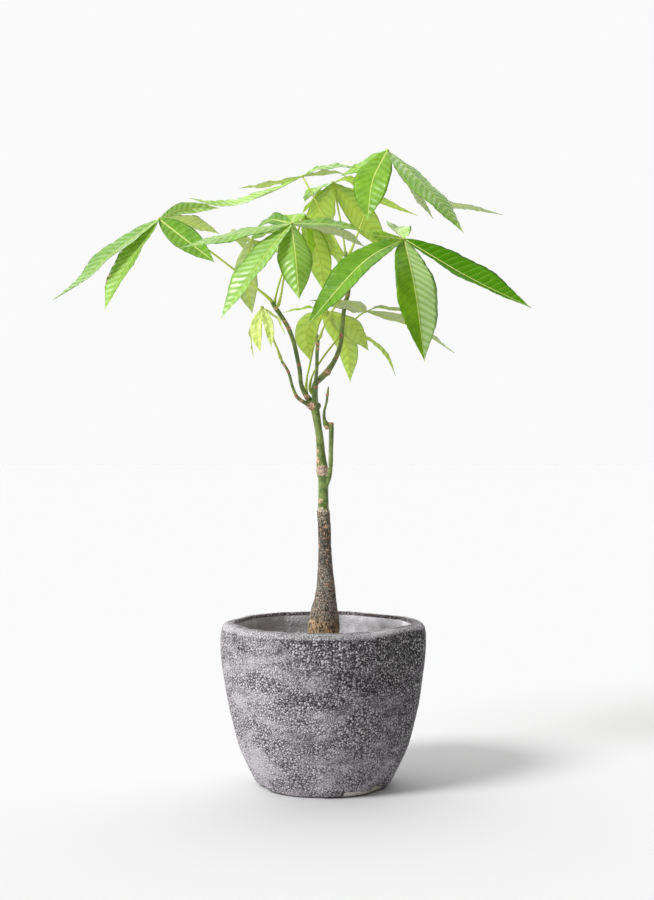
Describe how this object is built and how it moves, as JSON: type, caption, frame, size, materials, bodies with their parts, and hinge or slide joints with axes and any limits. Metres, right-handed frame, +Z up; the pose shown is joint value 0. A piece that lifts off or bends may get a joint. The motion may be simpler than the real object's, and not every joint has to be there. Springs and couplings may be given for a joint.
{
  "type": "potted money tree",
  "caption": "Young money tree with eleven fans of hanging leaflets on a flared trunk, in a rough grey hand-hewn round planter.",
  "frame": {"origin": "centre of the planter's underside", "axes": "+Z up the trunk, +X to the right and +Y away from the viewer of the picture"},
  "size_m": [0.5828, 0.2804, 0.8102],
  "materials": {
    "stone": "rough, mottled mid grey with whitish grains",
    "soil": "matt dark potting mix",
    "bark": "satin green bark, grey-brown and rough below",
    "leaf": "satin ribbed leaf",
    "young_leaf": "satin pale young leaf"
  },
  "bodies": {
    "root": {"pot": "stone", "soil": "soil", "tree": "bark", "leaf_far_left": "leaf", "leaf_upper_left": "leaf", "leaf_top_right": "leaf", "leaf_back_centre": "leaf", "leaf_front_centre": "leaf", "leaf_front_right": "leaf", "leaf_inner": "leaf", "leaf_right_back": "leaf", "leaf_low_centre": "leaf", "leaf_behind_left": "leaf", "leaf_young": "young_leaf"}
  },
  "joints": []
}
